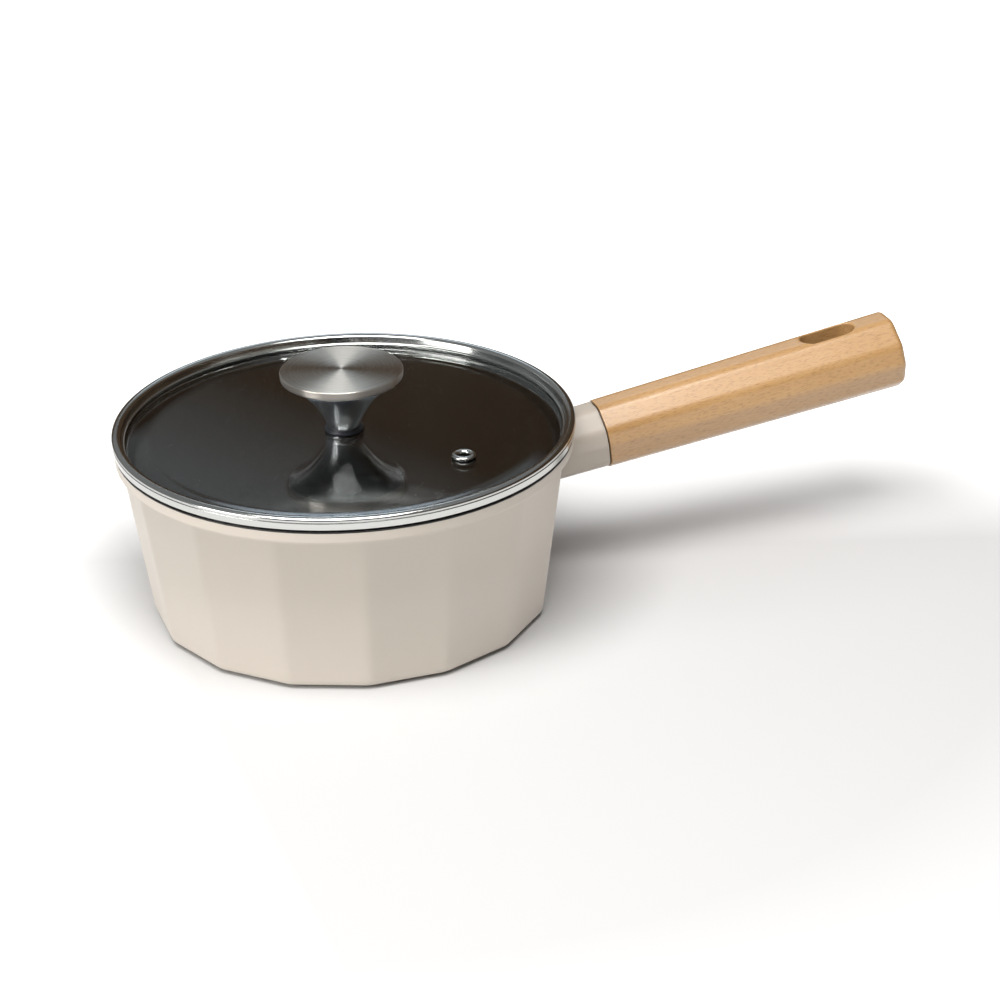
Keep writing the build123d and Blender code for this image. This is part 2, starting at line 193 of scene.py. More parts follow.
def useGroup(tree, group, **values):
    return addNode(tree, "ShaderNodeGroup", {"node_tree": group}, **values)


def maths(tree, operation, first, second=0.0):
    node = addNode(tree, "ShaderNodeMath", {"operation": operation})
    feed(tree, node.inputs[0], first)
    feed(tree, node.inputs[1], second)
    return node.outputs[0]


def mixColour(tree, factor, first, second):
    # The mix node keeps its colour sockets at places 6 and 7, and its colour result at place 2.
    node = addNode(tree, "ShaderNodeMix", {"data_type": "RGBA"})
    for place, value in ((0, factor), (6, first), (7, second)):
        feed(tree, node.inputs[place], value)
    return node.outputs[2]


def ramp(tree, value, low, high, lowTo=0.0, highTo=1.0):
    node = addNode(tree, "ShaderNodeMapRange", {"clamp": True}, Value=value)
    for label, number in (("From Min", low), ("From Max", high), ("To Min", lowTo), ("To Max", highTo)):
        node.inputs[label].default_value = number
    return node.outputs[0]


# effects that several finishes share

def makeMottle():
    # Cloudy tone changes and a fine skin: two noises over the piece, one coarse for tone and one fine
    # for height.
    group, given, result = newGroup(
        "mottle",
        [("Vector", "NodeSocketVector", None), ("Colour", "NodeSocketColor", (0.5, 0.5, 0.5, 1)),
         ("Tone", "NodeSocketFloat", 0.05), ("Coarse", "NodeSocketFloat", 20.0),
         ("Fine", "NodeSocketFloat", 900.0), ("Roughness", "NodeSocketFloat", 0.4),
         ("Unevenness", "NodeSocketFloat", 0.05)],
        [("Colour", "NodeSocketColor"), ("Roughness", "NodeSocketFloat"), ("Height", "NodeSocketFloat")])
    coarse = addNode(group, "ShaderNodeTexNoise", Detail=3.0)
    fine = addNode(group, "ShaderNodeTexNoise", Detail=2.0)
    for noise, scale in ((coarse, "Coarse"), (fine, "Fine")):
        group.links.new(given.outputs["Vector"], noise.inputs["Vector"])
        group.links.new(given.outputs[scale], noise.inputs["Scale"])
    offset = maths(group, "SUBTRACT", coarse.outputs[0], 0.5)
    tone = maths(group, "MULTIPLY_ADD", offset, given.outputs["Tone"])
    tone.node.inputs[2].default_value = 1.0
    colour = addNode(group, "ShaderNodeVectorMath", {"operation": "SCALE"})
    group.links.new(given.outputs["Colour"], colour.inputs[0])
    group.links.new(tone, colour.inputs["Scale"])
    rough = maths(group, "MULTIPLY", offset, given.outputs["Unevenness"])
    group.links.new(colour.outputs[0], result.inputs["Colour"])
    group.links.new(maths(group, "ADD", rough, given.outputs["Roughness"]), result.inputs["Roughness"])
    group.links.new(fine.outputs[0], result.inputs["Height"])
    return group


def makeTurning():
    # Tool lines of a spun part: noise that changes only with the distance from the axis.
    group, given, result = newGroup(
        "turning",
        [("Vector", "NodeSocketVector", None), ("Lines", "NodeSocketFloat", 2500.0),
         ("Roughness", "NodeSocketFloat", 0.3), ("Unevenness", "NodeSocketFloat", 0.1)],
        [("Roughness", "NodeSocketFloat"), ("Height", "NodeSocketFloat")])
    flat = addNode(group, "ShaderNodeVectorMath", {"operation": "MULTIPLY"})
    flat.inputs[1].default_value = (1, 1, 0)
    group.links.new(given.outputs["Vector"], flat.inputs[0])
    distance = addNode(group, "ShaderNodeVectorMath", {"operation": "LENGTH"})
    group.links.new(flat.outputs[0], distance.inputs[0])
    lines = addNode(group, "ShaderNodeTexNoise", {"noise_dimensions": "1D"}, Detail=4.0, Roughness=0.7)
    group.links.new(distance.outputs["Value"], lines.inputs["W"])
    group.links.new(given.outputs["Lines"], lines.inputs["Scale"])
    offset = maths(group, "SUBTRACT", lines.outputs[0], 0.5)
    rough = maths(group, "MULTIPLY", offset, given.outputs["Unevenness"])
    group.links.new(maths(group, "ADD", rough, given.outputs["Roughness"]), result.inputs["Roughness"])
    group.links.new(lines.outputs[0], result.inputs["Height"])
    return group


def makeDust():
    # Sparse specks: the cells of a Voronoi pattern whose distance is tiny, thinned out by a coarse noise.
    group, given, result = newGroup(
        "dust",
        [("Vector", "NodeSocketVector", None), ("Density", "NodeSocketFloat", 300.0),
         ("Size", "NodeSocketFloat", 0.06), ("Patchiness", "NodeSocketFloat", 12.0)],
        [("Mask", "NodeSocketFloat")])
    cells = addNode(group, "ShaderNodeTexVoronoi", Randomness=1.0)
    patch = addNode(group, "ShaderNodeTexNoise", Detail=1.0)
    for node, scale in ((cells, "Density"), (patch, "Patchiness")):
        group.links.new(given.outputs["Vector"], node.inputs["Vector"])
        group.links.new(given.outputs[scale], node.inputs["Scale"])
    speck = maths(group, "LESS_THAN", cells.outputs["Distance"], given.outputs["Size"])
    chosen = maths(group, "GREATER_THAN", patch.outputs[0], 0.5)
    group.links.new(maths(group, "MULTIPLY", speck, chosen), result.inputs["Mask"])
    return group


mottle, turning, dust = makeMottle(), makeTurning(), makeDust()
print("effects ready")


# finishes: a skin of mottle or of turning lines over one base colour

def mottledFinish(name, settings):
    material, tree, shader = newMaterial(name)
    skin = useGroup(
        tree, mottle, Vector=objectPlace(tree), Colour=(*settings["colour"], 1), Tone=settings["tone"],
        Coarse=settings["coarse"], Fine=settings["fine"], Roughness=settings["roughness"],
        Unevenness=settings["unevenness"])
    tree.links.new(skin.outputs["Colour"], shader.inputs["Base Color"])
    tree.links.new(skin.outputs["Roughness"], shader.inputs["Roughness"])
    bump = addNode(tree, "ShaderNodeBump", Strength=settings["bump"], Distance=settings["depth"] * mm)
    tree.links.new(skin.outputs["Height"], bump.inputs["Height"])
    tree.links.new(bump.outputs[0], shader.inputs["Normal"])
    shader.inputs["Metallic"].default_value = settings.get("metallic", 0.0)
    shader.inputs["IOR"].default_value = settings.get("ior", 1.5)
    return material


paintSettings = {
    "colour": (0.492, 0.443, 0.384), "tone": 0.04, "coarse": 14.0, "fine": 1500.0, "roughness": 0.42,
    "unevenness": 0.08, "bump": 0.4, "depth": 0.06, "ior": 1.5}
# painted shade: the collar has the pan's paint, made about a fifth darker to stand in for the shade it sits
# in
shadedCollarSettings = {**paintSettings, "colour": (0.400, 0.352, 0.300)}
coatSettings = {
    "colour": (0.014, 0.013, 0.013), "tone": 0.25, "coarse": 60.0, "fine": 2200.0, "roughness": 0.38,
    "unevenness": 0.1, "bump": 0.3, "depth": 0.03, "ior": 1.45}
siliconeSettings = {
    "colour": (0.018, 0.021, 0.028), "tone": 0.2, "coarse": 80.0, "fine": 1800.0, "roughness": 0.45,
    "unevenness": 0.1, "bump": 0.3, "depth": 0.03, "ior": 1.45}
mirrorSettings = {
    "colour": (0.50, 0.505, 0.49), "tone": 0.06, "coarse": 18.0, "fine": 900.0, "roughness": 0.15,
    "unevenness": 0.05, "bump": 0.03, "depth": 0.01, "metallic": 1.0}
stemSettings = {
    "colour": (0.80, 0.81, 0.83), "tone": 0.08, "coarse": 90.0, "fine": 240.0, "roughness": 0.21,
    "unevenness": 0.08, "bump": 0.05, "depth": 0.06, "metallic": 1.0}
hiddenSteelSettings = {
    "colour": (0.55, 0.55, 0.54), "tone": 0.1, "coarse": 200.0, "fine": 2500.0, "roughness": 0.3,
    "unevenness": 0.15, "bump": 0.15, "depth": 0.03, "metallic": 1.0}

panPaint = mottledFinish("panPaint", paintSettings)
shadedCollarPaint = mottledFinish("shadedCollarPaint", shadedCollarSettings)
nonStick = mottledFinish("nonStick", coatSettings)
silicone = mottledFinish("silicone", siliconeSettings)
polishedSteel = mottledFinish("polishedSteel", mirrorSettings)
stemSteel = mottledFinish("stemSteel", stemSettings)
fastenerSteel = mottledFinish("fastenerSteel", hiddenSteelSettings)


def turnedFinish(name, settings):
    material, tree, shader = newMaterial(name)
    lines = useGroup(
        tree, turning, Vector=objectPlace(tree), Lines=settings["lines"], Roughness=settings["roughness"],
        Unevenness=settings["unevenness"])
    tree.links.new(lines.outputs["Roughness"], shader.inputs["Roughness"])
    shade = mixColour(tree, lines.outputs["Height"], (*settings["dark"], 1), (*settings["light"], 1))
    tree.links.new(shade, shader.inputs["Base Color"])
    bump = addNode(tree, "ShaderNodeBump", Strength=settings["bump"], Distance=settings["depth"] * mm)
    tree.links.new(lines.outputs["Height"], bump.inputs["Height"])
    tree.links.new(bump.outputs[0], shader.inputs["Normal"])
    shader.inputs["Metallic"].default_value = 1.0
    shader.inputs["Anisotropic"].default_value = settings["anisotropy"]
    shader.inputs["Anisotropic Rotation"].default_value = settings["turn"]
    tangent = addNode(tree, "ShaderNodeTangent", {"direction_type": "RADIAL", "axis": "Z"})
    tree.links.new(tangent.outputs[0], shader.inputs["Tangent"])
    return material


knobFaceSettings = {
    "dark": (0.38, 0.34, 0.29), "light": (0.64, 0.61, 0.57), "lines": 3200.0, "roughness": 0.31,
    "unevenness": 0.3, "bump": 0.18, "depth": 0.02, "anisotropy": 0.95, "turn": 0.25}
plateSettings = {
    "dark": (0.40, 0.40, 0.40), "light": (0.62, 0.62, 0.61), "lines": 900.0, "roughness": 0.34,
    "unevenness": 0.15, "bump": 0.3, "depth": 0.03, "anisotropy": 0.6, "turn": 0.25}
spunSteel = turnedFinish("spunSteel", knobFaceSettings)
plateSteel = turnedFinish("plateSteel", plateSettings)

glassSettings = {
    "colour": (0.93, 0.96, 0.95), "roughness": 0.0, "dustRoughness": 0.6, "density": 700.0,
    "speck": 0.055, "patches": 22.0, "flatRadius": 82.0, "fall": 13.0}


def makeGlass():
    material, tree, shader = newMaterial("clearGlass")
    specks = useGroup(
        tree, dust, Vector=objectPlace(tree), Density=glassSettings["density"], Size=glassSettings["speck"],
        Patchiness=glassSettings["patches"])
    rough = ramp(
        tree, specks.outputs["Mask"], 0.0, 1.0, glassSettings["roughness"], glassSettings["dustRoughness"])
    tree.links.new(rough, shader.inputs["Roughness"])
    # beyond its flat radius the pressed glass falls away: height drops with the square of the distance
    # past it
    flat = addNode(
        tree, "ShaderNodeVectorMath", {"operation": "LENGTH"}, Vector=objectPlace(tree, scale=(1, 1, 0)))
    past = maths(tree, "SUBTRACT", flat.outputs["Value"], glassSettings["flatRadius"] * mm)
    past = maths(tree, "MAXIMUM", past, 0.0)
    height = maths(tree, "MULTIPLY", maths(tree, "MULTIPLY", past, past), -glassSettings["fall"])
    bump = addNode(tree, "ShaderNodeBump", Strength=1.0, Distance=1.0, Height=height)
    tree.links.new(bump.outputs[0], shader.inputs["Normal"])
    shader.inputs["Base Color"].default_value = (*glassSettings["colour"], 1)
    shader.inputs["Transmission Weight"].default_value = 1.0
    shader.inputs["IOR"].default_value = 1.5
    return material


clearGlass = makeGlass()

beechSettings = {
    "pale": (0.460, 0.275, 0.118), "warm": (0.385, 0.205, 0.068), "fleck": (0.17, 0.065, 0.02),
    "tilt": 8.5, "bandRange": (0.34, 0.66), "fibreRange": (0.3, 0.7), "fleckRange": (0.51, 0.70),
    "fleckLength": 400.0, "fleckWidth": 2000.0, "ripple": (520.0, 230.0), "rippleRange": (0.3, 0.7),
    "bandShare": 0.6, "fibreShare": 0.45, "fleckShare": 0.38, "roughness": 0.34, "roughSwing": 0.05,
    "rippleHeight": 0.4, "fleckDepth": 0.8, "bump": 0.4, "depth": 0.05, "oil": 0.8, "oilRoughness": 0.3}


def makeBeech():
    # Soft bands along the grip, fine fibres, short dark flecks where a stretched noise peaks, and faint
    # ripples that only catch the light.
    material, tree, shader = newMaterial("beech")
    turned = objectPlace(tree, turn=(0, math.radians(beechSettings["tilt"]), 0))

    def stretched(along, across, detail=2.0, roughness=0.5, warp=0.0, slant=0.0):
        place = addNode(
            tree, "ShaderNodeMapping", Vector=turned, Scale=(along, across, across), Rotation=(0, 0, slant))
        noise = addNode(
            tree, "ShaderNodeTexNoise", Vector=place.outputs[0], Scale=1.0, Detail=detail,
            Roughness=roughness, Distortion=warp)
        return noise.outputs[0]

    bands = ramp(tree, stretched(7.0, 70.0, warp=0.6), *beechSettings["bandRange"])
    fibres = stretched(40.0, 1100.0, detail=4.0, roughness=0.7, slant=0.03)
    fibres = ramp(tree, fibres, *beechSettings["fibreRange"])
    flecks = stretched(beechSettings["fleckLength"], beechSettings["fleckWidth"], detail=1.5, slant=0.05)
    flecks = ramp(tree, flecks, *beechSettings["fleckRange"])
    ripples = stretched(*beechSettings["ripple"], detail=0.0)
    pale, warm, fleck = (tuple(beechSettings[key]) + (1,) for key in ("pale", "warm", "fleck"))
    tone = mixColour(tree, maths(tree, "MULTIPLY", bands, beechSettings["bandShare"]), pale, warm)
    tone = mixColour(tree, maths(tree, "MULTIPLY", fibres, beechSettings["fibreShare"]), tone, warm)
    tone = mixColour(tree, maths(tree, "MULTIPLY", flecks, beechSettings["fleckShare"]), tone, fleck)
    tree.links.new(tone, shader.inputs["Base Color"])
    smoothest = beechSettings["roughness"] - beechSettings["roughSwing"]
    roughest = beechSettings["roughness"] + beechSettings["roughSwing"]
    rough = ramp(tree, ripples, *beechSettings["rippleRange"], smoothest, roughest)
    tree.links.new(rough, shader.inputs["Roughness"])
    rise = maths(tree, "MULTIPLY", ripples, beechSettings["rippleHeight"])
    fall = maths(tree, "MULTIPLY", flecks, beechSettings["fleckDepth"])
    height = maths(tree, "SUBTRACT", rise, fall)
    bump = addNode(
        tree, "ShaderNodeBump", Strength=beechSettings["bump"], Distance=beechSettings["depth"] * mm,
        Height=height)
    tree.links.new(bump.outputs[0], shader.inputs["Normal"])
    shader.inputs["IOR"].default_value = 1.5
    shader.inputs["Coat Weight"].default_value = beechSettings["oil"]
    shader.inputs["Coat Roughness"].default_value = beechSettings["oilRoughness"]
    return material


beech = makeBeech()
print("finishes ready")


# camera: from the front left, a little above the lid
cameraSettings = {
    "place": (-295.9, -1120.3, 589.5), "turn": 18.0, "down": 25.22, "roll": -1.53, "lens": 108.0}
cameraData = bpy.data.cameras.new("camera")
cameraData.lens, cameraData.sensor_width = cameraSettings["lens"], 36.0
camera = bpy.data.objects.new("camera", cameraData)
bpy.context.scene.collection.objects.link(camera)
camera.matrix_world = (
    Matrix.Translation(Vector(cameraSettings["place"]) * mm)
    @ Matrix.Rotation(math.radians(-cameraSettings["turn"]), 4, "Z")
    @ Matrix.Rotation(math.radians(90 - cameraSettings["down"]), 4, "X")
    @ Matrix.Rotation(math.radians(cameraSettings["roll"]), 4, "Z"))
bpy.context.scene.camera = camera
bpy.context.scene.view_settings.view_transform = "Standard"


# the handle's line: it leaves the pan at the grip's root and climbs at the tilt
grip = {
    "tilt": 8.5, "rootX": 112.144, "rootZ": 73.3, "length": 140.0,
    "rootHalf": (5.2, 13.2, 14.0, 12.0, 6.0), "rootDrop": (0.0, 8.0, 15.0, 24.5, 28.8),
    "endHalf": (6.0, 15.2, 17.0, 13.4, 6.5), "endDrop": (0.0, 9.2, 18.5, 27.5, 32.8),
    "edgeRound": 6.5, "endRound": 2.5, "rootRound": 0.35,
    "slotPlace": 110.5, "slotLength": 25.2, "slotWidth": 10.8, "slotRound": 0.8,
    "screws": (14.0, 31.0), "screwHole": 4.2, "screwSink": 3.0, "screwRound": 0.25}
collar = {"inset": 0.45, "gap": 0.5, "endRound": 0.35, "wallBite": 0.3, "farStation": -26.0, "middle": -14.4}
tang = {"rootLow": -27.5, "rootHigh": -24.5, "reach": 42.0, "width": 9.0, "height": 15.0, "drop": 14.4}
gripTilt = math.radians(grip["tilt"])
gripAlong = np.array([math.cos(gripTilt), 0, math.sin(gripTilt)])
gripUp = np.array([-math.sin(gripTilt), 0, math.cos(gripTilt)])
gripSide = np.array([0, 1.0, 0])
gripRoot = np.array([grip["rootX"], 0, grip["rootZ"]])


def placeOnGrip(station, side, height):
    # A point at a distance along the grip, to its side and above its crest line.
    along = gripRoot + station[..., None] * gripAlong
    return along + side[..., None] * gripSide + height[..., None] * gripUp


# pan: sixteen facets outside, round inside, with a plain round lip
panLow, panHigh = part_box("pan_body")
lidLow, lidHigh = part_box("lid_ring")
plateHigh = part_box("induction_plate")[1]

pan = {
    "sides": 16, "slope": 0.137, "edgeRound": 11.0, "bottomRound": 4.0, "wall": 3.2, "floor": 4.0,
    "bore": 90.0, "seatWidth": 5.0, "insideRound": 14.0, "lipHeight": 5.1, "lipEdge": 0.5,
    "undercut": 1.0, "lipStart": 1.6, "lipCorner": 1.2, "lipFlat": 0.6}
rimTop, seatTop = panHigh.z / mm, lidLow.z / mm
lipRadius = panHigh.y / mm
bottomTop = panLow.z / mm
lipBottom = rimTop - pan["lipHeight"]
topApothem = pan["bore"] - pan["slope"] * (seatTop - lipBottom) + pan["wall"]
plateRecess = plateHigh.y / mm + 0.1


def facetColumns(sides, flatSteps, arcSteps):
    # One unit polygon point and one unit normal for each column: flats keep their normal, corners turn it.
    half = math.pi / sides
    flat = np.array(flatSteps) * math.tan(half)
    arc = np.linspace(0, 1, arcSteps + 2)[1:-1] * 2 * half
    along = np.concatenate([flat, np.full(arcSteps, math.tan(half))])
    normal = np.concatenate([np.zeros(len(flat)), arc])
    facet = np.arange(sides)[:, None] * 2 * half
    base = np.stack([np.cos(facet) - along * np.sin(facet), np.sin(facet) + along * np.cos(facet)], -1)
    way = np.stack([np.cos(facet + normal), np.sin(facet + normal)], -1)
    return base.reshape(-1, 2), way.reshape(-1, 2)


def panGrid(profile, sides, edgeRound):
    # Profile rows are (size, height, facets): facets 1 gives a polygon of that half width with rounded
    # corners, facets 0 a circle of that radius, and values between blend the two.
    base, way = facetColumns(sides, (-1, -0.94, -0.5, 0, 0.5, 0.94, 1), 9)
    size, height, facets = (profile[:, k][:, None, None] for k in range(3))
    polygon = np.maximum(size - edgeRound, 0) * base + np.minimum(edgeRound, size) * way
    angle = np.arctan2(base[:, 1] * 0.9 + way[:, 1] * 0.1, base[:, 0] * 0.9 + way[:, 0] * 0.1)
    circle = size * np.stack([np.cos(angle), np.sin(angle)], -1)
    flat = facets * polygon + (1 - facets) * circle
    return np.concatenate([flat, np.broadcast_to(height, flat.shape[:2] + (1,))], -1)


def withFacets(path, facets):
    return np.column_stack([path, np.full(len(path), facets)])


bottomApothem = topApothem - pan["slope"] * (lipBottom - bottomTop)
plateTop = plateHigh.z / mm
under = roundPath([
    (0, plateTop, 0), (plateRecess, plateTop, 0.1), (plateRecess, bottomTop, 0.15),
    (plateRecess + 3, bottomTop, 0)])
lipFoot = lipBottom - pan["undercut"]
wall = roundPath([
    (bottomApothem - 8, bottomTop, 0), (bottomApothem, bottomTop, pan["bottomRound"]),
    (topApothem - pan["slope"] * pan["undercut"], lipFoot, 0)], steps=10)
lip = roundPath([
    (topApothem + pan["lipStart"], lipFoot, 0),
    (lipRadius - pan["lipCorner"], lipFoot + 0.2, pan["lipEdge"]),
    (lipRadius, lipBottom + pan["lipFlat"], 0.8), (lipRadius, rimTop - pan["lipFlat"], 0)])
outside = np.concatenate([withFacets(under, 0), withFacets(wall, 1), withFacets(lip, 0)])
seat = pan["bore"] + pan["seatWidth"]
floorTop = bottomTop + pan["floor"]
floorRadius = pan["bore"] - pan["slope"] * (seatTop - floorTop)
# the black coat starts at the lip's outer top edge, so the rim's top land is black: partly the coat's reach,
# partly painted shade for the dark gap under the lid ring's skirt
inside = withFacets(roundPath([
    (lipRadius, rimTop - pan["lipFlat"], 0), (lipRadius, rimTop, 0.55), (seat, rimTop, 0.5),
    (seat, seatTop, 0.3), (pan["bore"], seatTop, 0.4), (floorRadius, floorTop, pan["insideRound"]),
    (0, floorTop, 0)], steps=14), 0)
# the tang: a flat bar along the handle's line, from inside the wall into the wood, closed at both ends
tangSide = np.array([-0.5, 0.5, 0.5, -0.5]) * tang["width"]
tangRise = np.array([-0.5, -0.5, 0.5, 0.5]) * tang["height"]
tangRoot = np.array([tang["rootLow"], tang["rootLow"], tang["rootHigh"], tang["rootHigh"]])
tangEnd = np.full(4, tang["reach"])
tangAlong = np.stack([np.full(4, tangRoot.mean()), tangRoot, tangEnd, tangEnd])
tangOpen = np.array([0, 1, 1, 0])[:, None]
tangGrid = placeOnGrip(tangAlong, tangOpen * tangSide, tangOpen * tangRise - tang["drop"])
makePiece(
    "panBody",
    [(tangGrid, True, 0), (panGrid(outside, pan["sides"], pan["edgeRound"]), True, 0),
     (panGrid(inside, pan["sides"], pan["edgeRound"]), True, 1)],
    [panPaint, nonStick], "pan", ("pan_body",))


# lid: a steel ring rolled over the glass, a steam vent and a knob
ring = {
    "toe": 92.0, "toeHeight": 0.55, "toeBend": 92.95, "sheet": 0.6, "crownCentre": (95.47, 82.85),
    "crownWidth": 2.07, "crease": 82.2, "skirtBottom": 79.0, "hollowOut": 96.4, "hollowIn": 94.9,
    "hollowFoot": 81.0, "web": 94.2, "flange": 91.0}
ringRadius, ringCrest = lidHigh.y / mm, lidHigh.z / mm
crown = arcPath(
    ring["crownCentre"], ring["crownWidth"], ringCrest - ring["crownCentre"][1], 180, -12, 30)
glassLow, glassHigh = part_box("lid_glass")
glassTop, glassBottom = glassHigh.z / mm, glassLow.z / mm
foot = roundPath([
    (ring["toe"], glassTop, 0), (ring["toe"], glassTop + ring["toeHeight"], 0.25),
    (ring["toeBend"], glassTop + ring["sheet"], 0.35), (crown[0, 0], crown[0, 1], 0)], steps=6)
# the section goes down the skirt, up inside the bead, down the web and out under the glass
crease, sheetIn = ring["crease"], ring["web"] - ring["sheet"]
skirt = roundPath([
    (crown[-1, 0], crown[-1, 1], 0), (ringRadius - 0.32, crease, 0.12),
    (ringRadius - 0.06, crease - 0.35, 0.2), (ringRadius - 0.35, ring["skirtBottom"], 0.25),
    (ringRadius - 1.0, ring["skirtBottom"], 0.2), (ringRadius - 0.75, crease - 0.3, 0.2),
    (ring["hollowOut"], crease + 0.7, 0.4), (ring["hollowIn"], crease + 0.9, 0.4),
    (ring["web"], ring["hollowFoot"], 0.6), (ring["web"], seatTop, 0.3), (ring["flange"], seatTop, 0.2),
    (ring["flange"], glassBottom, 0.2), (sheetIn, glassBottom, 0.2), (sheetIn, glassTop, 0.1),
    (ring["toe"], glassTop, 0)], steps=6)
makePiece(
    "lidRing", [(revolve(np.concatenate([foot[:-1], crown, skirt[1:]]), 320), True, 0)],
    [polishedSteel], "lid", ("lid_ring",))

ventLow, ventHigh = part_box("vent_eyelet")
# vent: a tube with its top turned out in two quarter ellipses and its foot rolled over half an ellipse
vent = {"bore": 2.5, "tube": 3.1, "crownRadius": 3.8, "roll": 4.3, "rollCentre": 3.4}
ventPlace = ((ventLow.x + ventHigh.x) / 2 / mm, (ventLow.y + ventHigh.y) / 2 / mm)
flangeRadius = (ventHigh.x - ventLow.x) / 2 / mm
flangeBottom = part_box("vent_gasket")[1].z / mm
ventTop, ventBottom = ventHigh.z / mm, ventLow.z / mm
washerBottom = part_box("vent_washer")[0].z / mm
eyeletOut = arcPath(
    (vent["crownRadius"], flangeBottom + 0.35), flangeRadius - vent["crownRadius"],
    ventTop - flangeBottom - 0.35, 0, 90, 10)
eyeletIn = arcPath(
    (vent["crownRadius"], flangeBottom + 0.25), vent["crownRadius"] - vent["bore"],
    ventTop - flangeBottom - 0.25, 90, 180, 10)
eyeletRoll = arcPath(
    (vent["rollCentre"], washerBottom), vent["roll"] - vent["rollCentre"], washerBottom - ventBottom,
    -180, 0, 12)
eyelet = np.concatenate([
    roundPath([
        (vent["tube"], washerBottom, 0), (vent["tube"], flangeBottom, 0.05),
        (flangeRadius - 0.1, flangeBottom, 0.1), tuple(eyeletOut[0]) + (0,)], steps=4),
    eyeletOut[1:], eyeletIn[1:], eyeletRoll, [[vent["tube"], washerBottom]]])
makePiece(
    "ventEyelet", [(revolve(eyelet, 72, ventPlace), True, 0)], [polishedSteel], "lid",
    ("vent_eyelet",))

# knob: a disc whose face sinks with the square of the radius, on a bell whose side is one cubic curve
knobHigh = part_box("knob_disc")[1]
stemLow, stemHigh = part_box("knob_stem")
knob = {
    "rise": 0.4, "topBevel": 0.45, "underBevel": 0.9, "spigot": 6.0, "spigotDrop": 1.5,
    "footRadius": 6.9, "footHeight": 0.5, "topEdge": 0.3, "risePull": (1.6, 9.0),
    "flarePull": (6.2, 2.4), "screwBore": 2.65, "screwDepth": 13.15}
knobRadius = knobHigh.x / mm
faceEdge = knobHigh.z / mm - knob["rise"]
underside = stemHigh.z / mm
face = np.linspace(0, knobRadius - 1.2, 12)[::-1]
faceCurve = np.stack([face, faceEdge + knob["rise"] * (1 - (face / knobRadius) ** 2)], 1)
spigotFoot = underside - knob["spigotDrop"]
discEdge = roundPath([
    (0, spigotFoot, 0), (knob["spigot"], spigotFoot, 0.2), (knob["spigot"], underside, 0.05),
    (knobRadius - 0.3, underside, knob["underBevel"]), (knobRadius, faceEdge, knob["topBevel"]),
    tuple(faceCurve[0]) + (0,)], steps=8)
makePiece(
    "knobDisc", [(revolve(np.concatenate([discEdge, faceCurve[1:]]), 256), True, 0)], [spunSteel],
    "lid", ("knob_disc",))

stemFoot, stemTopRadius = stemLow.z / mm, stemHigh.x / mm
sideStart = np.array([knob["footRadius"], stemFoot + knob["footHeight"]])
sideStop = np.array([stemTopRadius, underside - knob["topEdge"]])
side = bezierPath(sideStart, sideStart + knob["risePull"], sideStop - knob["flarePull"], sideStop, 60)
boreEnd = stemFoot + knob["screwDepth"]
stemFootPath = roundPath([
    (knob["screwBore"], boreEnd, 0), (knob["screwBore"], stemFoot, 0.1),
    (knob["footRadius"], stemFoot, 0.3), tuple(side[0]) + (0,)], steps=6)
stemClose = np.array([
    [stemTopRadius, underside - 0.05], [stemTopRadius - 0.05, underside], [0, underside],
    [0, boreEnd], [knob["screwBore"], boreEnd]])
makePiece(
    "knobStem", [(revolve(np.concatenate([stemFootPath, side[1:], stemClose]), 192), True, 0)],
    [stemSteel], "lid", ("knob_stem",))

gasketLow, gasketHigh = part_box("knob_top_gasket")
gasketRadius, gasketFoot, gasketTop = gasketHigh.x / mm, gasketLow.z / mm, gasketHigh.z / mm
gasketPath = roundPath([
    (knob["screwBore"], gasketFoot, 0), (gasketRadius, gasketFoot, 0.1), (gasketRadius, gasketTop, 0.45),
    (knob["screwBore"], gasketTop, 0), (knob["screwBore"], gasketFoot, 0)], steps=8)
makePiece(
    "knobGasket", [(revolve(gasketPath, 96), True, 0)], [silicone], "lid",
    ("knob_top_gasket",))


# handle: a beech grip that grows towards its end, and the painted collar between it and the pan
# distances from a hole's edge at which extra points follow its rounding
edgeLayers = np.array([0, 0.03, 0.1, 0.2, 0.35, 0.55, 0.85])


def halfOutline(station, steps):
    # Half of the ten-sided outline at each station, from the crest's middle to the belly's middle, with
    # its normals. The corners move in straight lines from one end of the grip to the other, and each is
    # rounded by the same radius.
    share = (station / grip["length"])[:, None]
    half = np.array(grip["rootHalf"]) + share * (np.array(grip["endHalf"]) - grip["rootHalf"])
    drop = np.array(grip["rootDrop"]) + share * (np.array(grip["endDrop"]) - grip["rootDrop"])
    zero = np.zeros((len(station), 1))
    spot = np.stack([np.hstack([zero, half, zero]), -np.hstack([drop[:, :1], drop, drop[:, -1:]])], -1)
    run = np.diff(spot, axis=1)
    way = run / np.linalg.norm(run, axis=2, keepdims=True)
    inWay, outWay, corner = way[:, :-1], way[:, 1:], spot[:, 1:-1]
    turn = np.arccos(np.clip((inWay * outWay).sum(2), -1, 1))[..., None]
    reach = grip["edgeRound"] * np.tan(turn / 2)
    normal = np.stack([-inWay[..., 1], inWay[..., 0]], -1)
    centre = corner - inWay * reach - normal * grip["edgeRound"]
    angle = np.linspace(0, 1, steps)[None, None, :, None] * turn[:, :, None]
    facing = normal[:, :, None] * np.cos(angle) + inWay[:, :, None] * np.sin(angle)
    arc = centre[:, :, None] + grip["edgeRound"] * facing
    rows = len(station)
    points = np.concatenate([spot[:, :1], arc.reshape(rows, -1, 2), spot[:, -1:]], 1)
    facing = np.concatenate([np.tile([[[0, 1.0]]], (rows, 1, 1)), facing.reshape(rows, -1, 2),
                             np.tile([[[0, -1.0]]], (rows, 1, 1))], 1)
    return points, facing


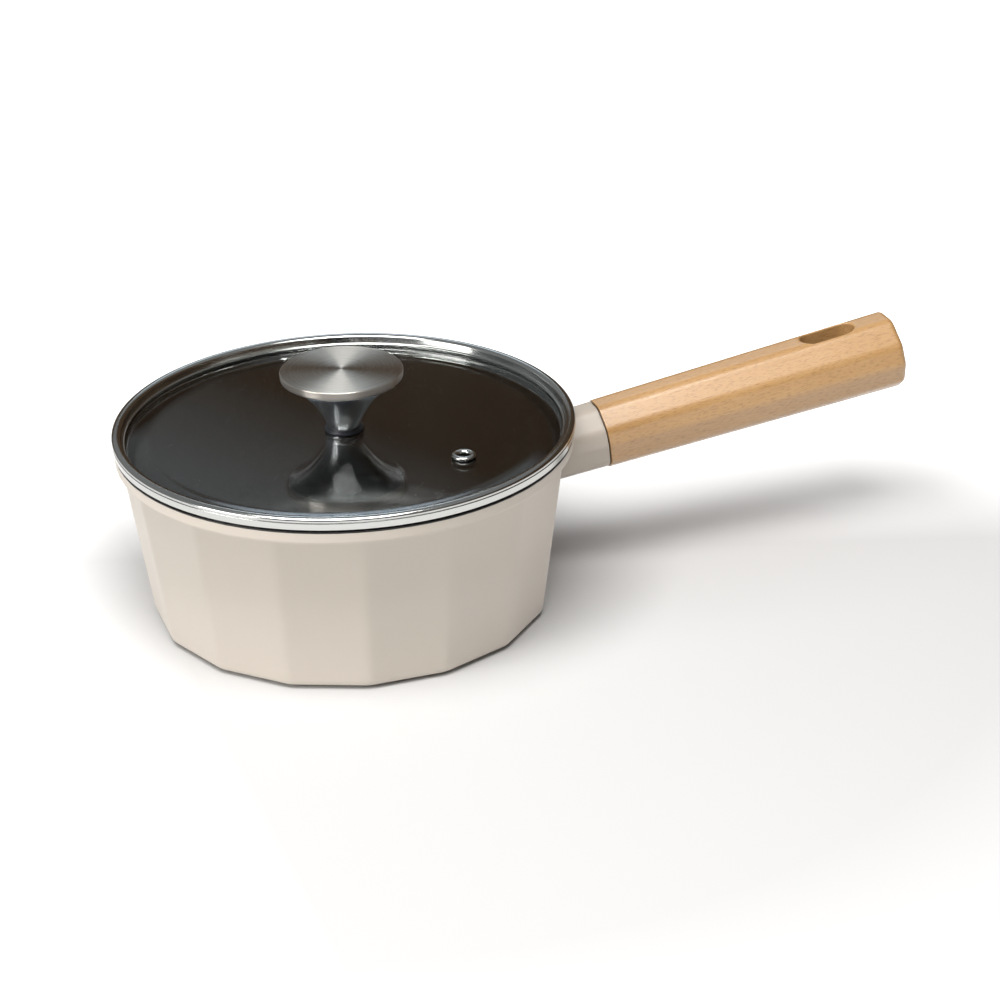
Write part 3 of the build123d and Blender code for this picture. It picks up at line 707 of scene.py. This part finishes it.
def alongOutline(points, facing, wanted):
    # Points and normals at wanted distances along each row's outline.
    found = []
    for line, normals, places in zip(points, facing, wanted):
        length = np.concatenate([[0], np.cumsum(np.linalg.norm(np.diff(line, axis=0), axis=1))])
        found.append([np.interp(places, length, values) for values in (*line.T, *normals.T)])
    found = np.array(found)
    return found[:, :2].transpose(0, 2, 1), found[:, 2:].transpose(0, 2, 1)


def spread(first, last, step):
    return np.linspace(first, last, max(2, int(abs(last - first) / step) + 1))


def pastSlotStraight(station):
    # How far a station lies past the straight part of the slot, towards either of its round ends.
    straight = (grip["slotLength"] - grip["slotWidth"]) / 2
    return np.maximum(np.abs(station - grip["slotPlace"]) - straight, 0)


def slotHalfWidth(station):
    beyond = pastSlotStraight(station)
    return np.sqrt(np.maximum((grip["slotWidth"] / 2) ** 2 - beyond ** 2, 0))


def screwHalfWidth(station):
    hole = grip["screwHole"]
    return sum(np.sqrt(np.maximum(hole ** 2 - (station - place) ** 2, 0)) for place in grip["screws"])


def slotDistance(station, side):
    return np.hypot(pastSlotStraight(station), side) - grip["slotWidth"] / 2


def screwDistance(station, side):
    return np.min([np.hypot(station - place, side) - grip["screwHole"] for place in grip["screws"]], axis=0)


def rolledEdge(distance, radius):
    # How far a rounded edge drops at a distance from the hole: a quarter circle of that radius.
    inward = np.clip(1 - np.maximum(distance, 0) / radius, 0, 1)
    return radius * (1 - np.sqrt(1 - inward ** 2))


def gripStations():
    # Places along the grip: even steps, with closer ones round the slot's ends and the screw holes.
    quarter = np.sin(np.linspace(0, math.pi / 2, 16))
    slotEnd, slotRadius = grip["slotLength"] / 2, grip["slotWidth"] / 2
    rows = [spread(grip["rootRound"] + 0.1, grip["length"] - grip["endRound"] - 0.15, 2.6),
            spread(grip["slotPlace"] - slotEnd + slotRadius, grip["slotPlace"] + slotEnd - slotRadius, 1.2)]
    for way in (-1, 1):
        rows.append(grip["slotPlace"] + way * (slotEnd - slotRadius + slotRadius * quarter))
        rows.append(grip["slotPlace"] + way * (slotEnd + edgeLayers))
        for place in grip["screws"]:
            rows.append(place + way * grip["screwHole"] * quarter)
            rows.append(place + way * (grip["screwHole"] + edgeLayers[:5]))
    rows = np.unique(np.round(np.concatenate(rows), 5))
    keep = np.concatenate([[True], np.diff(rows) > 0.004])
    return rows[keep]


def gripHalf(station):
    # Columns run from the crest to the belly. Where the slot or a screw hole opens, its edge pushes them
    # aside, less and less with distance, and the points near an edge roll down into the hole.
    points, facing = halfOutline(station, 25)
    length = np.linalg.norm(np.diff(points, axis=1), axis=2).sum(1)
    layer = edgeLayers
    even = np.linspace(0, 1, 84)[1:-1]
    crossing = []
    for width, flip in ((slotHalfWidth(station), 1), (slotHalfWidth(station) + screwHalfWidth(station), -1)):
        line = points[:, ::flip]
        steps = np.cumsum(np.linalg.norm(np.diff(line, axis=1), axis=2), 1)
        distance = np.concatenate([np.zeros((len(station), 1)), steps], 1)
        rows = zip(width, line[..., 0], distance)
        crossing.append(np.array([np.interp(w, x[:60], d[:60]) for w, x, d in rows]))
    first, last = crossing[0][:, None], crossing[1][:, None]
    middle = even * (length[:, None] - 2 * layer[-1]) + layer[-1]
    fade = 20.0
    middle = middle + first * np.clip(1 - (middle - layer[-1]) / fade, 0, 1) ** 2
    fromEnd = length[:, None] - middle
    middle = middle - last * np.clip(1 - (fromEnd - layer[-1]) / fade, 0, 1) ** 2
    wanted = np.concatenate([first + layer, middle, length[:, None] - last - layer[::-1]], 1)
    found, normals = alongOutline(points, facing, wanted)
    x, y = found[..., 0], found[..., 1]
    away = slotDistance(station[:, None], x)
    lower = y < -0.5 * grip["endDrop"][-1]
    fall = rolledEdge(away, grip["slotRound"])
    holeFall = np.where(lower, rolledEdge(screwDistance(station[:, None], x), grip["screwRound"]), 0)
    y = y + np.where(lower, fall, -fall) + holeFall
    return x, y, normals


def mirrored(grid):
    return grid * np.array([1, -1, 1])


def makeGrip():
    station = gripStations()
    x, y, normals = gripHalf(station)
    lengthwise = np.broadcast_to(station[:, None], x.shape)
    # the free end: the outline draws in along a quarter circle, then closes to the middle; the root
    # does the same
    last, first = grip["length"], 0.0
    ends = []
    for way, place, radius, row in ((1, last, grip["endRound"], -1), (-1, first, grip["rootRound"], 0)):
        angle = np.radians(np.array([0, 10, 20, 30, 40, 50, 60, 70, 80, 90]))[:, None]
        inset = radius * (1 - np.cos(angle))
        endX = x[row] - inset * normals[row, :, 0]
        endY = y[row] - inset * normals[row, :, 1]
        endS = np.broadcast_to(place - way * radius * (1 - np.sin(angle)), endX.shape)
        middleY = (y[row].max() + y[row].min()) / 2
        shrink = np.array([0.985, 0.8, 0.5, 0.2, 0.0])[:, None]
        capX = endX[-1] * shrink
        capY = middleY + (endY[-1] - middleY) * shrink
        capS = np.full(capX.shape, place)
        rows = [np.concatenate(pair) for pair in ((endS, capS), (endX, capX), (endY, capY))]
        ends.append([values if way == 1 else values[::-1] for values in rows])
    (endS, endX, endY), (rootS, rootX, rootY) = ends
    half = placeOnGrip(np.concatenate([rootS, lengthwise, endS]), np.concatenate([rootX, x, endX]),
                       np.concatenate([rootY, y, endY]))
    half[:, :, 1] = np.maximum(half[:, :, 1], 0)
    patches = [(half, False, 0), (mirrored(half), False, 0)]
    # the slot's wall hangs between its edges on the crest and on the belly
    within = np.abs(station - grip["slotPlace"]) <= grip["slotLength"] / 2 + 1e-4
    share = np.array([0, 0.01, 0.1, 0.3, 0.5, 0.7, 0.9, 0.99, 1.0])
    wallX = np.repeat(x[within, :1], len(share), 1)
    wallY = y[within, :1] + (y[within, -1:] - y[within, :1]) * share
    wallX = wallX + (x[within, -1:] - x[within, :1]) * share
    wall = placeOnGrip(np.broadcast_to(station[within, None], wallX.shape), wallX, wallY)
    patches += [(wall, False, 0), (mirrored(wall), False, 0)]
    # each screw's hole: up its wall on one side, across its floor and down the other side
    for place in grip["screws"]:
        rows = np.abs(station - place) <= grip["screwHole"] + 1e-4
        belly = grip["rootDrop"][-1] + (grip["endDrop"][-1] - grip["rootDrop"][-1]) * place / grip["length"]
        ceiling = -(belly - grip["screwSink"])
        edgeX, edgeY = x[rows, -1:], y[rows, -1:]
        rise = np.array([0, 0.02, 0.5, 0.97, 1.0])
        across = np.array([0.96, 0.5, 0.0, -0.5, -0.96])
        cupX = np.concatenate([np.repeat(edgeX, 5, 1), edgeX * across, -np.repeat(edgeX, 5, 1)], 1)
        up = edgeY + (ceiling - edgeY) * rise
        cupY = np.concatenate([up, np.full((rows.sum(), 5), ceiling), up[:, ::-1]], 1)
        cup = placeOnGrip(np.broadcast_to(station[rows, None], cupX.shape), cupX, cupY)
        patches.append((cup, False, 0))
    makePiece("handleGrip", patches, [beech], "pan", ("handle_grip",))


makeGrip()


def makeCollar():
    # The grip's outline drawn in a little and carried back until it meets the plane of the pan's facet.
    angle = np.radians(np.array([0, 18, 36, 54, 72, 90]))
    even = np.linspace(0, 1, 72)
    stations = np.array([collar["farStation"], -collar["gap"]])
    points, facing = halfOutline(stations, 21)
    length = np.linalg.norm(np.diff(points, axis=1), axis=2).sum(1)[:, None]
    found, normals = alongOutline(points, facing, even * length)
    found = found - normals * collar["inset"]
    far, near = placeOnGrip(
        np.broadcast_to(stations[:, None], found[..., 0].shape), found[..., 0], found[..., 1])
    plane = np.array([1, 0, -pan["slope"]])
    onPlane = np.array([topApothem - collar["wallBite"], 0, lipBottom])
    share = ((onPlane - far) @ plane / ((near - far) @ plane))[:, None]
    root = far + (near - far) * share
    shares = np.array([0, 0.02, 0.25, 0.5, 0.75, 0.97])[:, None, None]
    rows = root + (near - gripAlong * collar["endRound"] - root) * shares
    nearX, nearY = found[1, :, 0], found[1, :, 1]
    inset = collar["endRound"] * (1 - np.cos(angle))[:, None]
    rimX, rimY = nearX - inset * normals[1, :, 0], nearY - inset * normals[1, :, 1]
    rimS = np.broadcast_to(-collar["gap"] - collar["endRound"] * (1 - np.sin(angle))[:, None], rimX.shape)
    middle = np.array([0.95, 0.5, 0.0])[:, None]
    capX = rimX[-1] * middle
    capY = collar["middle"] + (rimY[-1] - collar["middle"]) * middle
    capS = np.full(capX.shape, -collar["gap"])
    rim = placeOnGrip(
        np.concatenate([rimS, capS]), np.concatenate([rimX, capX]), np.concatenate([rimY, capY]))
    rootMiddle = root.mean(0) * np.array([1, 0, 1])
    back = rootMiddle + (root - rootMiddle) * np.array([0.0, 0.5, 0.95])[:, None, None]
    half = np.concatenate([back, rows, rim])
    half[:, :, 1] = np.maximum(half[:, :, 1], 0)
    makePiece(
        "handleCollar", [(half, False, 0), (mirrored(half), False, 0)], [shadedCollarPaint], "pan",
        ("handle_collar",))


makeCollar()
print("pieces ready")


# CAD pieces that show as they are
nodeFinishes = {
    "induction_plate": plateSteel, "collar_gasket": silicone, "grip_screw_1": fastenerSteel,
    "grip_screw_2": fastenerSteel, "lid_glass": clearGlass, "vent_gasket": silicone,
    "vent_washer": fastenerSteel, "knob_bottom_gasket": silicone,
    "knob_washer": fastenerSteel, "knob_screw": fastenerSteel}
for name, material in nodeFinishes.items():
    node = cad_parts[name]
    node.data.materials.clear()
    node.data.materials.append(material)


# floor and light
floorSettings = {
    "colour": (0.80, 0.80, 0.80), "seen": (0.58, 0.58, 0.58), "size": 30.0, "ring": (0.28, 0.85),
    "depth": (0.042, 0.235), "left": (0.08, 0.22), "mirrorGlow": 0.12}
floorMesh = bpy.data.meshes.new("floor")
reach = floorSettings["size"]
floorCorners = [(-reach, -reach, 0), (reach, -reach, 0), (reach, reach, 0), (-reach, reach, 0)]
floorMesh.from_pydata(floorCorners, [], [(0, 1, 2, 3)])
floor = bpy.data.objects.new("floor", floorMesh)
bpy.context.scene.collection.objects.link(floor)
floorMaterial, floorTree, floorShader = newMaterial("floorPaper")
floorShader.inputs["Roughness"].default_value = 0.9
floorShader.inputs["Specular IOR Level"].default_value = 0.1
seenFloor = floorTree.nodes.new("ShaderNodeLightPath")
floorTone = mixColour(
    floorTree, seenFloor.outputs["Is Camera Ray"], (*floorSettings["colour"], 1),
    (*floorSettings["seen"], 1))
floorTree.links.new(floorTone, floorShader.inputs["Base Color"])
# painted light: the paper glows white a little way off, and behind and to the left of the object, where it
# lifts the shadows the lamps cast there; only as the camera sees it, and faintly and evenly in reflections


def distanceAlong(way):
    # How far a place on the floor lies from the middle in one direction.
    measure = addNode(floorTree, "ShaderNodeVectorMath", {"operation": "DOT_PRODUCT"})
    floorTree.links.new(objectPlace(floorTree), measure.inputs[0])
    measure.inputs[1].default_value = way
    return measure.outputs["Value"]


away = addNode(
    floorTree, "ShaderNodeVectorMath", {"operation": "LENGTH"}, Vector=objectPlace(floorTree))
viewTurn = math.radians(cameraSettings["turn"])
behind = distanceAlong((math.sin(viewTurn), math.cos(viewTurn), 0))
# painted light: glow that whitens the floor far off and lifts its shadows behind and to the left
paintedLightGlow = maths(
    floorTree, "ADD", ramp(floorTree, away.outputs["Value"], *floorSettings["ring"]),
    ramp(floorTree, behind, *floorSettings["depth"]))
paintedLightGlow = maths(floorTree, "ADD", paintedLightGlow, ramp(floorTree, distanceAlong((-1, 0, 0)), *floorSettings["left"]))
seenGlow = maths(floorTree, "MULTIPLY", paintedLightGlow, seenFloor.outputs["Is Camera Ray"])
mirrorGlow = maths(
    floorTree, "MULTIPLY", seenFloor.outputs["Is Glossy Ray"], floorSettings["mirrorGlow"])
floorTree.links.new(
    maths(floorTree, "ADD", seenGlow, mirrorGlow), floorShader.inputs["Emission Strength"])
floorShader.inputs["Emission Color"].default_value = (1, 1, 1, 1)
floorMesh.materials.append(floorMaterial)

lamps = {
    "topLamp": {"place": (-0.25, -0.46, 1.45), "aim": (0.0, 0.0, 0.05), "size": (1.20, 0.90), "power": 36.0,
                "tint": (1.0, 0.99, 0.975)},
    "leftLamp": {"place": (-1.7, -0.5, 0.65), "aim": (0.0, 0.0, 0.05), "size": (0.9, 0.9), "power": 19.0,
                 "tint": (1.0, 0.99, 0.98)}}
for name, lamp in lamps.items():
    data = bpy.data.lights.new(name, "AREA")
    data.shape, data.energy, data.color = "RECTANGLE", lamp["power"], lamp["tint"]
    data.size, data.size_y = lamp["size"]
    holder = bpy.data.objects.new(name, data)
    bpy.context.scene.collection.objects.link(holder)
    holder.location = lamp["place"]
    holder.rotation_mode = "QUATERNION"
    holder.rotation_quaternion = (Vector(lamp["aim"]) - Vector(lamp["place"])).to_track_quat("-Z", "Y")

# the room: plain white behind the object, a dim even fill, and for reflections a warm dark band low
# down, a soft leaning edge to grey above it, and one small bluish window high at the back
roomSettings = {
    "fill": (0.13, 0.13, 0.135), "low": (0.085, 0.055, 0.033), "high": (0.27, 0.28, 0.285),
    "lean": 0.45, "edge": (0.293, 0.335), "window": (2.6, 3.1, 3.5), "windowTurn": 14.5,
    "windowHeight": 35.0, "windowSpread": (3.0, 6.5)}
world = bpy.data.worlds.new("studio")
bpy.context.scene.world = world
world.use_nodes = True
sky = world.node_tree
sky.nodes.clear()
worldOut = sky.nodes.new("ShaderNodeOutputWorld")
glow = addNode(sky, "ShaderNodeBackground", Strength=1.0)
direction = sky.nodes.new("ShaderNodeTexCoord").outputs["Generated"]
split = addNode(sky, "ShaderNodeSeparateXYZ", Vector=direction)
leaning = maths(sky, "MULTIPLY", split.outputs[0], roomSettings["lean"])
leaning = maths(sky, "SUBTRACT", split.outputs[2], leaning)
edge = ramp(sky, leaning, *roomSettings["edge"])
room = mixColour(sky, edge, (*roomSettings["low"], 1), (*roomSettings["high"], 1))
turn, height = math.radians(roomSettings["windowTurn"]), math.radians(roomSettings["windowHeight"])
windowWay = (math.sin(turn) * math.cos(height), math.cos(turn) * math.cos(height), math.sin(height))
towards = addNode(sky, "ShaderNodeVectorMath", {"operation": "DOT_PRODUCT"})
sky.links.new(direction, towards.inputs[0])
towards.inputs[1].default_value = windowWay
inner, outer = (math.cos(math.radians(angle)) for angle in roomSettings["windowSpread"])
room = mixColour(sky, ramp(sky, towards.outputs["Value"], outer, inner), room, (*roomSettings["window"], 1))
seen = sky.nodes.new("ShaderNodeLightPath")
lit = mixColour(sky, seen.outputs["Is Glossy Ray"], (*roomSettings["fill"], 1), room)
sky.links.new(mixColour(sky, seen.outputs["Is Camera Ray"], lit, (1, 1, 1, 1)), glow.inputs["Color"])
sky.links.new(glow.outputs[0], worldOut.inputs["Surface"])

print("stage ready")
